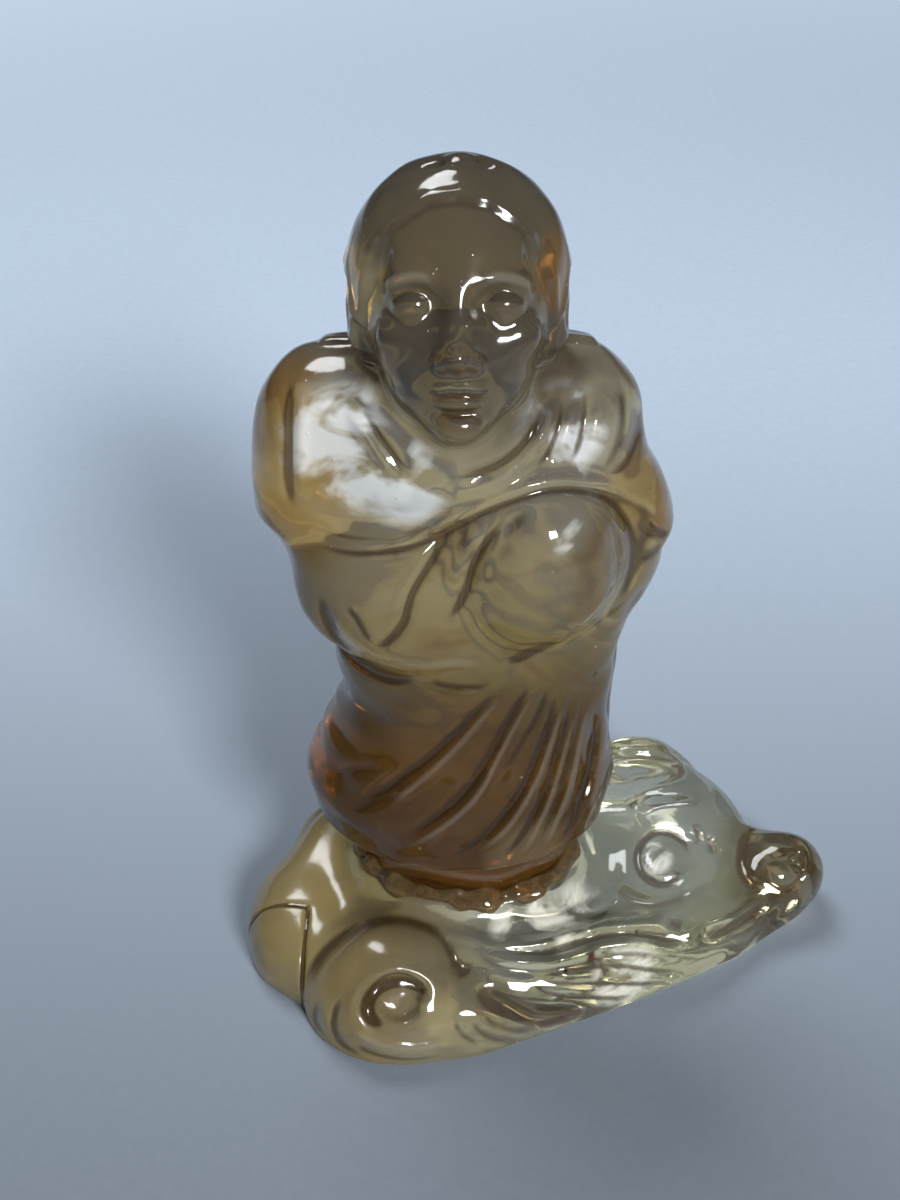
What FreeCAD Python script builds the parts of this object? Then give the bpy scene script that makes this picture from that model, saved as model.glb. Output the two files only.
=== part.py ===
import FreeCAD, Part

import math
import os

from FreeCAD import Vector

# Carved quartz okimono: a robed monk who stands on a block of curling waves.
# Millimetres, +Z up, the figure faces -Y. The origin is on the flat underside, in the middle of the base.
# The figure and the base are two stones. The figure's foot sits in a socket in the base, on a bed of
# adhesive, and a corner of the base has broken off and been glued back along an L-shaped crack.

# Base stone
BASE_LENGTH = 88.0
BASE_DEPTH = 56.0
SEAT_HEIGHT = 16.0
SLAB_HEIGHT = 9.5
RIM_HEIGHT = 3.5
EDGE_ROUND = 6.0
BASE_BLEND = 4.0

# Place of the figure's axis on the base
FIGURE_X = -14.2
FIGURE_Y = 1.0

# Foot block under the hem, and the socket that holds it
STEM_WIDTH = 30.0
STEM_DEPTH = 24.0
STEM_HEIGHT = 8.0
STEM_X = 2.5
SEAT_LAND = 1.5
MOUND_SPREAD = 8.0
SOCKET_DEPTH = 2.5
GLUE_GAP = 0.15
GLUE_BEAD = 0.9

# Robe
HEM_WIDTH = 44.0
HEM_DEPTH = 33.0
WAIST_WIDTH = 37.0
WAIST_DEPTH = 27.0
SKIRT_HEIGHT = 22.0
TORSO_WIDTH = 39.0
TORSO_DEPTH = 26.0
TORSO_HEIGHT = 48.0
LEAN = 4.0
ROBE_BLEND = 3.0

# Arms folded in the sleeves
ELBOW_SPAN = 54.0
SLEEVE_DEPTH = 9.0

# Mantle over the shoulders
MANTLE_WALL = 1.2
MANTLE_HEM = 2.5

# Head
HEAD_WIDTH = 24.5
HEAD_DEPTH = 27.0
HEAD_HEIGHT = 31.5
HEAD_X = 0.9
HEAD_Y = -1.5
HEAD_TILT = 20.0
CHIN_DROP = 6.5
HEAD_BLEND = 2.0
EAR_HEIGHT = 8.0
EAR_WIDTH = 3.2

# Glued corner of the base
FRAGMENT_WIDTH = 9.3
FRAGMENT_REACH = 20.0
CRACK_SKEW = 2.5
CRACK_GAP = 0.25

# Sampling of the carved surfaces
AROUND = 72
BASE_AROUND = 96
BODY_STEP = 1.6
HEM_STEP = 0.7
CAP_STEPS = 14
RIM_STEPS = 3
FAN_STEPS = 6
TOP_STEPS = 34
POLE_SHARE = 0.03
STRIDE_SHARE = 0.85
TOUCH_SHARE = 0.0002
STRIDES = 60
OVERRUN = 5.0

# Outline of the base in plan, as shares of half its length and half its depth, from the left end
OUTLINE_SHARES = (
    (-1.00, -0.14), (-0.97, -0.38), (-0.87, -0.54), (-0.80, -0.61), (-0.78, -0.75), (-0.71, -0.87),
    (-0.61, -0.96), (-0.45, -1.00), (-0.22, -0.95), (0.04, -0.77), (0.31, -0.58), (0.52, -0.40),
    (0.72, -0.20), (0.88, 0.00), (0.97, 0.15), (0.96, 0.30), (0.86, 0.38), (0.77, 0.42),
    (0.71, 0.60), (0.62, 0.82), (0.48, 0.97), (0.26, 1.00), (0.05, 0.96), (-0.20, 0.86),
    (-0.46, 0.74), (-0.68, 0.62), (-0.80, 0.46), (-0.86, 0.24), (-0.93, 0.12), (-0.98, 0.02),
)

# Swells of the base: centre and radii, as shares of half the length, half the depth and the seat height
SWELL_SHARES = (
    ("front left curl", (-0.51, -0.62, 0.31), (0.24, 0.36, 0.66)),
    ("left lobe", (-0.82, -0.12, 0.22), (0.165, 0.41, 0.50)),
    ("rear left slope", (-0.66, 0.32, 0.34), (0.21, 0.36, 0.56)),
    ("right swell", (0.40, 0.14, 0.19), (0.34, 0.44, 0.60)),
    ("right end curl", (0.835, 0.13, 0.45), (0.140, 0.22, 0.35)),
    ("rear right shoulder", (0.54, 0.50, 0.44), (0.165, 0.32, 0.43)),
    ("rear crest", (0.35, 0.76, 0.58), (0.21, 0.25, 0.53)),
)

# Wave ridge along the front of the base: points as shares of half the length, half the depth and the seat
# height, and its radius as a share of the seat height
RIDGE_SHARES = (
    (-0.36, -0.52, 0.66), (-0.16, -0.56, 0.56), (0.03, -0.60, 0.50), (0.23, -0.46, 0.52),
    (0.46, -0.33, 0.40), (0.62, -0.22, 0.22),
)
RIDGE_RADIUS_SHARE = 0.16

# Skirt sections from the hem up: height, lean, half width and half depth, as shares of the skirt's sizes
SKIRT_SHARES = (
    (0.00, 0.45, 0.87, 0.90),
    (0.07, 0.40, 0.945, 1.00),
    (0.36, 0.33, 1.00, 1.03),
    (0.64, 0.52, 0.925, 0.94),
    (0.85, 0.80, 0.86, 0.86),
)

# Torso sections from the waist up: height, lean, half width and half depth, as shares of the torso's sizes
TORSO_SHARES = (
    (0.12, 0.90, 0.98, 1.04),
    (0.25, 0.90, 1.02, 1.06),
    (0.48, 0.70, 0.98, 1.00),
    (0.78, 0.35, 1.00, 0.96),
    (0.92, 0.20, 0.88, 0.86),
    (1.00, 0.20, 0.66, 0.70),
    (1.06, 0.22, 0.48, 0.56),
    (1.18, 0.22, 0.40, 0.54),
)

# Arms and sleeves: centre and radii, as shares of half the elbow span, the sleeve depth and torso height
SLEEVE_SHARES = (
    ("left shoulder", (-0.53, 0.25, 0.82), (0.33, 1.00, 0.19)),
    ("left upper arm", (-0.55, 0.05, 0.66), (0.34, 1.10, 0.25)),
    ("left forearm", (-0.22, -0.80, 0.46), (0.52, 0.98, 0.26)),
    ("right shoulder", (0.52, 0.25, 0.83), (0.33, 1.00, 0.19)),
    ("right elbow", (0.69, 0.00, 0.51), (0.34, 1.10, 0.28)),
    ("right forearm", (0.40, -1.10, 0.56), (0.36, 1.00, 0.25)),
    ("chest", (0.00, -0.35, 0.80), (0.50, 1.05, 0.20)),
)

# Front edge of the mantle: across as a share of half the elbow span, up as a share of the torso height
MANTLE_SHARES = (
    (-0.90, 0.52), (-0.62, 0.62), (-0.44, 0.67), (-0.18, 0.71), (0.13, 0.83), (0.37, 0.86),
    (0.65, 0.82), (0.85, 0.70), (1.02, 0.50),
)
MANTLE_BACK_SHARE = 0.50

# Head: centre and radii, as shares of its width, depth and height, from the chin up
HEAD_SHARES = (
    ("skull", (0.00, 0.04, 0.61), (0.520, 0.49, 0.41)),
    ("face", (0.00, -0.14, 0.37), (0.385, 0.33, 0.35)),
    ("chin", (0.00, -0.31, 0.09), (0.150, 0.11, 0.09)),
    ("mouth", (0.00, -0.32, 0.21), (0.150, 0.14, 0.09)),
    ("left cheek", (-0.20, -0.27, 0.37), (0.150, 0.13, 0.12)),
    ("right cheek", (0.20, -0.27, 0.37), (0.150, 0.13, 0.12)),
    ("brow", (0.00, -0.34, 0.59), (0.300, 0.10, 0.06)),
    ("nape hair", (0.00, 0.14, 0.30), (0.440, 0.30, 0.32)),
)
NOSE_SHARES = ((0.00, -0.44, 0.55), (0.00, -0.51, 0.33), 0.035, 0.070)
EAR_SHARES = (0.480, -0.02, 0.43)
EAR_DEPTH_SHARE = 0.09


# A field takes x, y and z and gives the distance to a surface, below zero inside.
def ball(centre, radii):
    cx, cy, cz = centre
    rx, ry, rz = radii

    def field(x, y, z):
        px, py, pz = (x - cx) / rx, (y - cy) / ry, (z - cz) / rz
        near = math.sqrt(px * px + py * py + pz * pz)
        slope = math.sqrt((px / rx) ** 2 + (py / ry) ** 2 + (pz / rz) ** 2)
        if slope == 0.0:
            return -min(radii)
        return near * (near - 1.0) / slope

    return field


def limb(start, end, start_radius, end_radius):
    sx, sy, sz = start
    dx, dy, dz = end[0] - sx, end[1] - sy, end[2] - sz
    square = dx * dx + dy * dy + dz * dz

    def field(x, y, z):
        px, py, pz = x - sx, y - sy, z - sz
        along = min(1.0, max(0.0, (px * dx + py * dy + pz * dz) / square))
        away = math.sqrt((px - dx * along) ** 2 + (py - dy * along) ** 2 + (pz - dz * along) ** 2)
        return away - start_radius - (end_radius - start_radius) * along

    return field


def between(stations, height):
    """The values of a table at a height, smoothly between its rows."""
    if height <= stations[0][0]:
        return stations[0][1:]
    for low, high in zip(stations, stations[1:]):
        if height <= high[0]:
            share = (height - low[0]) / (high[0] - low[0])
            smooth = share * share * (3 - 2 * share)
            return [a + (b - a) * smooth for a, b in zip(low[1:], high[1:])]
    return stations[-1][1:]


def stack(stations):
    """A body of oval sections, each a height, a centre x, a half width and a half depth."""
    top = stations[-1][0]

    def field(x, y, z):
        cx, width, depth = between(stations, z)
        px, py = (x - cx) / width, y / depth
        near = math.sqrt(px * px + py * py)
        slope = math.sqrt((px / width) ** 2 + (py / depth) ** 2)
        side = near * (near - 1.0) / slope if slope > 0.0 else -min(width, depth)
        return max(side, z - top)

    return field


def blended(first, second, blend):
    over = max(blend - abs(first - second), 0.0)
    return min(first, second) - over * over / (4 * blend)


def joined(fields, blend):
    def field(x, y, z):
        found = fields[0](x, y, z)
        for other in fields[1:]:
            found = blended(found, other(x, y, z), blend)
        return found

    return field


def tilted(field, pivot_z, angle):
    """The field turned about X at a height, so that a face towards -Y looks up."""
    cosine, sine = math.cos(math.radians(angle)), math.sin(math.radians(angle))

    def turned(x, y, z):
        up = z - pivot_z
        return field(x, y * cosine - up * sine, up * cosine + y * sine + pivot_z)

    return turned


def moved(field, dx, dy, dz):
    return lambda x, y, z: field(x - dx, y - dy, z - dz)


def wall(field, start, direction, far):
    """The outermost point of the solid on a ray, found by walking in from its far end."""
    sx, sy, sz = start
    dx, dy, dz = direction
    along = far
    for _ in range(STRIDES):
        gap = field(sx + dx * along, sy + dy * along, sz + dz * along)
        if gap < far * TOUCH_SHARE:
            break
        along = max(along - gap * STRIDE_SHARE, 0.0)
    return Vector(sx + dx * along, sy + dy * along, sz + dz * along)


def ring(field, centre, lift, far):
    """Points round a solid, on rays from a centre, lifted above the horizontal by an angle."""
    points = []
    flat, up = math.cos(math.radians(lift)), math.sin(math.radians(lift))
    for step in range(AROUND):
        turn = math.tau * step / AROUND
        points.append(wall(field, centre, (math.cos(turn) * flat, math.sin(turn) * flat, up), far))
    return points


def spread_ring(field, radii, height, lift, far):
    """The same from points spread round the origin, each at its own radius."""
    points = []
    flat, up = math.cos(math.radians(lift)), math.sin(math.radians(lift))
    for step, radius in enumerate(radii):
        turn = math.tau * step / len(radii)
        cosine, sine = math.cos(turn), math.sin(turn)
        start = (cosine * radius, sine * radius, height)
        points.append(wall(field, start, (cosine * flat, sine * flat, up), far))
    return points


def levelled(points):
    height = sum(point.z for point in points) / len(points)
    return [Vector(point.x, point.y, height) for point in points]


def skin(rings):
    """A closed solid whose smooth side follows rings of points, with a flat face at each end."""
    rings = [levelled(rings[0])] + rings[1:-1] + [levelled(rings[-1])]
    along, around = len(rings), len(rings[0])
    along_knots = list(range(along - 2))
    along_mults = [4] + [1] * (along - 4) + [4]
    surface = Part.BSplineSurface()
    surface.buildFromPolesMultsKnots(
        rings, along_mults, [1] * (around + 1), along_knots, list(range(around + 1)), False, True, 3, 3
    )
    side = surface.toShape()
    ends = [edge for edge in side.Edges if edge.isClosed() and not edge.isSeam(side)]
    caps = [Part.Face(Part.Wire([edge])) for edge in ends]
    shell = Part.Shell([side] + caps)
    shell.sewShape()
    solid = Part.Solid(shell)
    if solid.Volume < 0:
        solid.reverse()
    return solid


# Figure, in its own frame: its axis is at x = y = 0, and z = 0 is the seat on the base
WAIST_Z = STEM_HEIGHT + SKIRT_HEIGHT
SHOULDER_Z = WAIST_Z + TORSO_HEIGHT
CHIN_Z = SHOULDER_Z - CHIN_DROP


def head_field():
    size = (HEAD_WIDTH, HEAD_DEPTH, HEAD_HEIGHT)
    parts = []
    for _, centre, radii in HEAD_SHARES:
        parts.append(ball([c * s for c, s in zip(centre, size)], [r * s for r, s in zip(radii, size)]))
    bridge, tip, bridge_share, tip_share = NOSE_SHARES
    parts.append(
        limb(
            [c * s for c, s in zip(bridge, size)],
            [c * s for c, s in zip(tip, size)],
            bridge_share * HEAD_WIDTH,
            tip_share * HEAD_WIDTH,
        )
    )
    out, back, up = EAR_SHARES
    for side in (-1, 1):
        centre = (side * out * HEAD_WIDTH, back * HEAD_DEPTH, up * HEAD_HEIGHT)
        parts.append(ball(centre, (EAR_WIDTH / 2, EAR_DEPTH_SHARE * HEAD_DEPTH, EAR_HEIGHT / 2)))
    head = tilted(joined(parts, HEAD_BLEND), HEAD_HEIGHT / 2, HEAD_TILT)
    return moved(head, HEAD_X, HEAD_Y, CHIN_Z)


def trunk_stations():
    """Sections of the foot block, the skirt and the torso: height, centre x, half width, half depth."""
    rows = [
        (-SOCKET_DEPTH, STEM_X, STEM_WIDTH / 2, STEM_DEPTH / 2),
        (STEM_HEIGHT - HEM_STEP, STEM_X, STEM_WIDTH / 2, STEM_DEPTH / 2),
    ]
    for height, lean, width, depth in SKIRT_SHARES:
        rows.append(
            (STEM_HEIGHT + height * SKIRT_HEIGHT, lean * LEAN, width * HEM_WIDTH / 2, depth * HEM_DEPTH / 2)
        )
    rows.append((WAIST_Z, LEAN, WAIST_WIDTH / 2, WAIST_DEPTH / 2))
    for height, lean, width, depth in TORSO_SHARES:
        rows.append(
            (WAIST_Z + height * TORSO_HEIGHT, lean * LEAN, width * TORSO_WIDTH / 2, depth * TORSO_DEPTH / 2)
        )
    return rows


def mantled(robe):
    """The robe under a mantle that is one wall thick and thins out at its lower edge."""
    rows = [(across * ELBOW_SPAN / 2, WAIST_Z + up * TORSO_HEIGHT) for across, up in MANTLE_SHARES]
    back = WAIST_Z + MANTLE_BACK_SHARE * TORSO_HEIGHT

    def field(x, y, z):
        behind = min(1.0, max(0.0, y / SLEEVE_DEPTH + 0.5))
        edge = between(rows, x)[0]
        edge += (back - edge) * behind
        cover = min(1.0, max(0.0, (z - edge) / MANTLE_HEM))
        return robe(x, y, z) - MANTLE_WALL * cover

    return field


def figure_field(stations):
    size = (ELBOW_SPAN / 2, SLEEVE_DEPTH, TORSO_HEIGHT)
    parts = [stack(stations)]
    for _, centre, radii in SLEEVE_SHARES:
        x, y, z = [c * s for c, s in zip(centre, size)]
        parts.append(ball((x, y, z + WAIST_Z), [r * s for r, s in zip(radii, size)]))
    robe = mantled(joined(parts, ROBE_BLEND))
    head = head_field()
    neck_z = CHIN_Z - ROBE_BLEND

    def field(x, y, z):
        if z < neck_z:
            return robe(x, y, z)
        return blended(robe(x, y, z), head(x, y, z), HEAD_BLEND)

    return field


def heights(low, high, step):
    count = max(1, round((high - low) / step))
    return [low + (high - low) * i / count for i in range(count)]


def make_figure():
    stations = trunk_stations()
    field = figure_field(stations)
    far = ELBOW_SPAN
    levels = heights(GLUE_GAP - SOCKET_DEPTH, STEM_HEIGHT - 2 * HEM_STEP, BODY_STEP)
    levels += heights(STEM_HEIGHT - 2 * HEM_STEP, STEM_HEIGHT + 4 * HEM_STEP, HEM_STEP)
    levels += heights(STEM_HEIGHT + 4 * HEM_STEP, CHIN_Z - HEAD_BLEND, BODY_STEP)
    skull_z = CHIN_Z + HEAD_HEIGHT / 2
    levels += heights(CHIN_Z - HEAD_BLEND, skull_z, BODY_STEP / 2)
    rings = []
    for level in levels:
        lean = between(stations, level)[0]
        head_share = min(1.0, max(0.0, (level - SHOULDER_Z) / HEAD_BLEND + 1))
        axis_x = lean + (HEAD_X - lean) * head_share
        axis_y = HEAD_Y * head_share
        rings.append(ring(field, (axis_x, axis_y, level), 0, far))
    for step in range(CAP_STEPS + 1):
        lift = 90 * step / CAP_STEPS * (1 - POLE_SHARE)
        rings.append(ring(field, (HEAD_X, HEAD_Y, skull_z), lift, far))
    solid = skin(rings)
    solid.translate(Vector(FIGURE_X, FIGURE_Y, SEAT_HEIGHT))
    return solid


# Base, in the part's frame
def outline_distance(corners, x, y):
    """Distance to a closed outline in plan, below zero inside."""
    nearest = None
    inside = False
    for (ax, ay), (bx, by) in zip(corners, corners[1:] + corners[:1]):
        ex, ey = bx - ax, by - ay
        px, py = x - ax, y - ay
        along = min(1.0, max(0.0, (px * ex + py * ey) / (ex * ex + ey * ey)))
        gap = (px - ex * along) ** 2 + (py - ey * along) ** 2
        if nearest is None or gap < nearest:
            nearest = gap
        if (ay > y) != (by > y) and px < ex * (y - ay) / ey:
            inside = not inside
    away = math.sqrt(nearest)
    return -away if inside else away


def slab_field():
    corners = [(x * BASE_LENGTH / 2, y * BASE_DEPTH / 2) for x, y in OUTLINE_SHARES]

    def field(x, y, z):
        side = outline_distance(corners, x, y)
        over_side = max(side + EDGE_ROUND, 0.0)
        over_top = max(z - SLAB_HEIGHT + EDGE_ROUND, 0.0)
        if over_side > 0.0 and over_top > 0.0:
            return math.hypot(over_side, over_top) - EDGE_ROUND
        return max(side, z - SLAB_HEIGHT)

    return field


def base_field():
    size = (BASE_LENGTH / 2, BASE_DEPTH / 2, SEAT_HEIGHT)
    parts = [slab_field()]
    for _, centre, radii in SWELL_SHARES:
        parts.append(ball([c * s for c, s in zip(centre, size)], [r * s for r, s in zip(radii, size)]))
    ridge = [[c * s for c, s in zip(point, size)] for point in RIDGE_SHARES]
    radius = RIDGE_RADIUS_SHARE * SEAT_HEIGHT
    for start, end in zip(ridge, ridge[1:]):
        parts.append(limb(start, end, radius, radius))
    foot, land = SEAT_LAND + MOUND_SPREAD, SEAT_LAND
    mound = [
        (0.0, STEM_X, STEM_WIDTH / 2 + foot, STEM_DEPTH / 2 + foot),
        (SEAT_HEIGHT, STEM_X, STEM_WIDTH / 2 + land, STEM_DEPTH / 2 + land),
    ]
    parts.append(moved(stack(mound), FIGURE_X, FIGURE_Y, 0.0))
    return joined(parts, BASE_BLEND)


def make_block():
    """The base stone before the socket and the crack are cut."""
    field = base_field()
    far = BASE_LENGTH
    centres = [0.0] * BASE_AROUND
    rings = []
    for level in heights(0.0, RIM_HEIGHT, RIM_HEIGHT / RIM_STEPS):
        rings.append(spread_ring(field, centres, level, 0, far))
    rim = spread_ring(field, centres, RIM_HEIGHT, 0, far)
    core = [math.hypot(point.x, point.y) - EDGE_ROUND for point in rim]
    for step in range(FAN_STEPS):
        rings.append(spread_ring(field, core, RIM_HEIGHT, 90 * step / FAN_STEPS, far))
    for step in range(TOP_STEPS + 1):
        share = 1 - step / TOP_STEPS * (1 - POLE_SHARE)
        rings.append(spread_ring(field, [radius * share for radius in core], RIM_HEIGHT, 90, far))
    return skin(rings)


def make_glue_body():
    """The socket's inside and the bead of adhesive at its mouth, with the foot block's place still full."""
    floor_z = SEAT_HEIGHT - SOCKET_DEPTH
    bulge_z = SEAT_HEIGHT + GLUE_BEAD / 2
    levels = ((floor_z, 0.0), (bulge_z - 2 * GLUE_BEAD, 0.0), (bulge_z, GLUE_BEAD), (bulge_z + GLUE_BEAD, 0.0))
    wires = []
    for height, swell in levels:
        centre = Vector(FIGURE_X + STEM_X, FIGURE_Y, height)
        long_end = centre + Vector(STEM_WIDTH / 2 + GLUE_GAP + swell, 0, 0)
        short_end = centre + Vector(0, STEM_DEPTH / 2 + GLUE_GAP + swell, 0)
        wires.append(Part.Wire([Part.Ellipse(long_end, short_end, centre).toShape()]))
    return Part.makeLoft(wires, True, True)


def corner_prism(inset):
    """An upright prism over the broken corner, with both walls of the crack moved into it by an inset."""
    left, front = -BASE_LENGTH / 2, -BASE_DEPTH / 2
    wall_x = left + FRAGMENT_WIDTH - inset
    wall_y = front + FRAGMENT_REACH - inset
    corners = [
        Vector(wall_x, wall_y, -OVERRUN),
        Vector(left - OVERRUN, wall_y + CRACK_SKEW, -OVERRUN),
        Vector(left - OVERRUN, front - OVERRUN, -OVERRUN),
        Vector(wall_x - CRACK_SKEW / 2, front - OVERRUN, -OVERRUN),
    ]
    face = Part.Face(Part.makePolygon(corners + corners[:1]))
    return face.extrude(Vector(0, 0, SEAT_HEIGHT + 2 * OVERRUN))


def export(shapes):
    os.makedirs("parts", exist_ok=True)
    for name, shape in shapes.items():
        shape.exportStep("parts/" + name + ".step")
        print(name, "solids", len(shape.Solids), "valid", shape.isValid(), "volume", round(shape.Volume))


def main():
    figure = make_figure()
    glue_body = make_glue_body()
    socketed = make_block().cut(glue_body)
    corner, inner_corner = corner_prism(0.0), corner_prism(CRACK_GAP)
    export(
        {
            "figure": figure,
            "wave_base": socketed.cut(corner),
            "corner_fragment": socketed.common(inner_corner),
            "foot_glue": glue_body.cut(figure),
            "fragment_glue": socketed.common(corner).cut(inner_corner),
        }
    )


main()
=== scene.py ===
import math

import bpy
import numpy as np
import openvdb
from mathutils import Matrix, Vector


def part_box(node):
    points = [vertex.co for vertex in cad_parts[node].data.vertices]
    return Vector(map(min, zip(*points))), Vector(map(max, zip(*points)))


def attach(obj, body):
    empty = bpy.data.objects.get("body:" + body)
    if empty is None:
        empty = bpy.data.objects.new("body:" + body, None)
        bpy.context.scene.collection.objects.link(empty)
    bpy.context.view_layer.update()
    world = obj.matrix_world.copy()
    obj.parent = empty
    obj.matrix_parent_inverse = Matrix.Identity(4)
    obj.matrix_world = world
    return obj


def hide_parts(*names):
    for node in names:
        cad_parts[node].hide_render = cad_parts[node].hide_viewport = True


# Carved quartz okimono: a robed monk on a block of curling waves, as polished smoky and pale crystal.
# The carving works in millimetres in the frame of the part, +Z up, with the figure facing -Y.
# Stage, lights and materials are in metres.
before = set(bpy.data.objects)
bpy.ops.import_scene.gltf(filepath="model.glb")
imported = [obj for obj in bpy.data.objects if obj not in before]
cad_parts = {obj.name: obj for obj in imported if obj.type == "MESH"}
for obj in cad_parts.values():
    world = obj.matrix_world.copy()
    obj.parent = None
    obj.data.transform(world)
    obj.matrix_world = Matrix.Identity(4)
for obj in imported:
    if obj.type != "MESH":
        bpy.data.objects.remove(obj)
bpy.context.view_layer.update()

MM = 0.001

# Camera of the photograph, which also frames the render
PHOTO_WIDTH = 900
PHOTO_HEIGHT = 1200
VIEW_FIELD = math.radians(40.0)
VIEW_ELEVATION = math.radians(35.0)
VIEW_AHEAD = (0.0, math.cos(VIEW_ELEVATION), -math.sin(VIEW_ELEVATION))
VIEW_UPWARD = (0.0, math.sin(VIEW_ELEVATION), math.cos(VIEW_ELEVATION))
VIEW_DISTANCE = 220.0
VIEW_AIM = np.array((-14.2, 1.0, 59.25))
PHOTO_FOCUS = PHOTO_HEIGHT / 2 / math.tan(VIEW_FIELD / 2)
PIXELS_PER_MM = 8.2

# Grid of the carving: how far from the surface it reaches, its cells, and how it is smoothed
REACH = 3.2
REACH_SHARE = 0.98
MARGIN_CELLS = 2
FIGURE_VOXEL = 0.30
BASE_VOXEL = 0.36
CHIP_VOXEL = 0.25
SMOOTHINGS = 3
SMOOTH_SELF = 0.6
SMOOTH_BESIDE = 0.2
TINY = 1e-6

# How squarely a surface has to face the camera to take the photograph's lines, from none of their depth to
# all of it, and the share of the depth under which a line is left out
FACING_LEVELS = (0.02, 0.30)
LEAST_SHARE = 0.01

# Drawn lines: how many steps lie between two corners, how many half widths from the middle they reach, and,
# as shares of their length, where their ends start and how far in their ends taper
LINE_STEPS = 6
LINE_WIDTHS = 3
LINE_START = -0.02
FOLD_FADE = 0.25
WAVE_FADE = 0.2
FACE_FADE = 0.3
MIDDLE_FADE = 0.2

# The name under which each mesh keeps how deep its drawn lines are, in millimetres
GROOVE = "groove"

# Head, in the frame of the part
HEAD_AXIS = (-13.3, -0.5)
HEAD_HEIGHT = 31.5
HEAD_TILT = math.radians(20.0)
HEAD_RADIUS = 13.5
HEAD_PIVOT_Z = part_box("figure")[1].z / MM - HEAD_HEIGHT / 2

# Axis of the body, for what is drawn round it
BODY_AXIS = (-11.0, 1.0)
BODY_RADIUS = 17.0


def add_object(name, data):
    item = bpy.data.objects.new(name, data)
    bpy.context.scene.collection.objects.link(item)
    return item


# Shapes as distances in millimetres, below zero inside
def ball(points, centre, radii):
    scaled = (points - np.array(centre, np.float32)) / np.array(radii, np.float32)
    near = np.sqrt((scaled**2).sum(1))
    slope = np.sqrt(((scaled / np.array(radii, np.float32)) ** 2).sum(1))
    return near * (near - 1.0) / np.maximum(slope, TINY)


def merged(first, second, blend):
    over = np.maximum(blend - np.abs(first - second), 0.0)
    return np.minimum(first, second) - over * over / (4 * blend)


def hollowed(first, second, blend):
    return -merged(-first, second, blend)


def ramp(values, low, high):
    """0 at low and 1 at high, smoothly between."""
    share = np.clip((values - low) / (high - low), 0.0, 1.0)
    return share * share * (3 - 2 * share)


def smooth_path(corners):
    """A smooth line through its corners."""
    corners = np.array(corners, float)
    ends = np.vstack((2 * corners[0] - corners[1], corners, 2 * corners[-1] - corners[-2]))
    line = []
    for a, b, c, d in zip(ends, ends[1:], ends[2:], ends[3:]):
        for step in range(LINE_STEPS):
            t = step / LINE_STEPS
            bend = (2 * a - 5 * b + 4 * c - d) * t**2 + (3 * b - a - 3 * c + d) * t**3
            line.append(0.5 * (2 * b + (c - a) * t + bend))
    line.append(corners[-1])
    return np.array(line)


def line_relief(points, corners, width, depth, fade):
    """How much a drawn line lowers the surface: depth along its middle, less to its sides and ends."""
    line = smooth_path(corners)
    low, high = line.min(0) - LINE_WIDTHS * width, line.max(0) + LINE_WIDTHS * width
    near = np.flatnonzero(((points > low) & (points < high)).all(1))
    relief = np.zeros(len(points), np.float32)
    if not len(near):
        return relief
    spots = points[near]
    best = np.full(len(near), np.inf)
    place = np.zeros(len(near))
    runs = np.linalg.norm(np.diff(line, axis=0), axis=1)
    done, total = 0.0, runs.sum()
    for start, end, run in zip(line, line[1:], runs):
        along = np.clip((spots - start) @ (end - start) / run**2, 0.0, 1.0)
        gap = ((spots - start - along[:, None] * (end - start)) ** 2).sum(1)
        closer = gap < best
        best[closer] = gap[closer]
        place[closer] = (done + along[closer] * run) / total
        done += run
    taper = ramp(place, LINE_START, fade) * ramp(1 - place, LINE_START, fade)
    relief[near] = depth * np.exp(-best / width**2) * taper
    return relief


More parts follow.
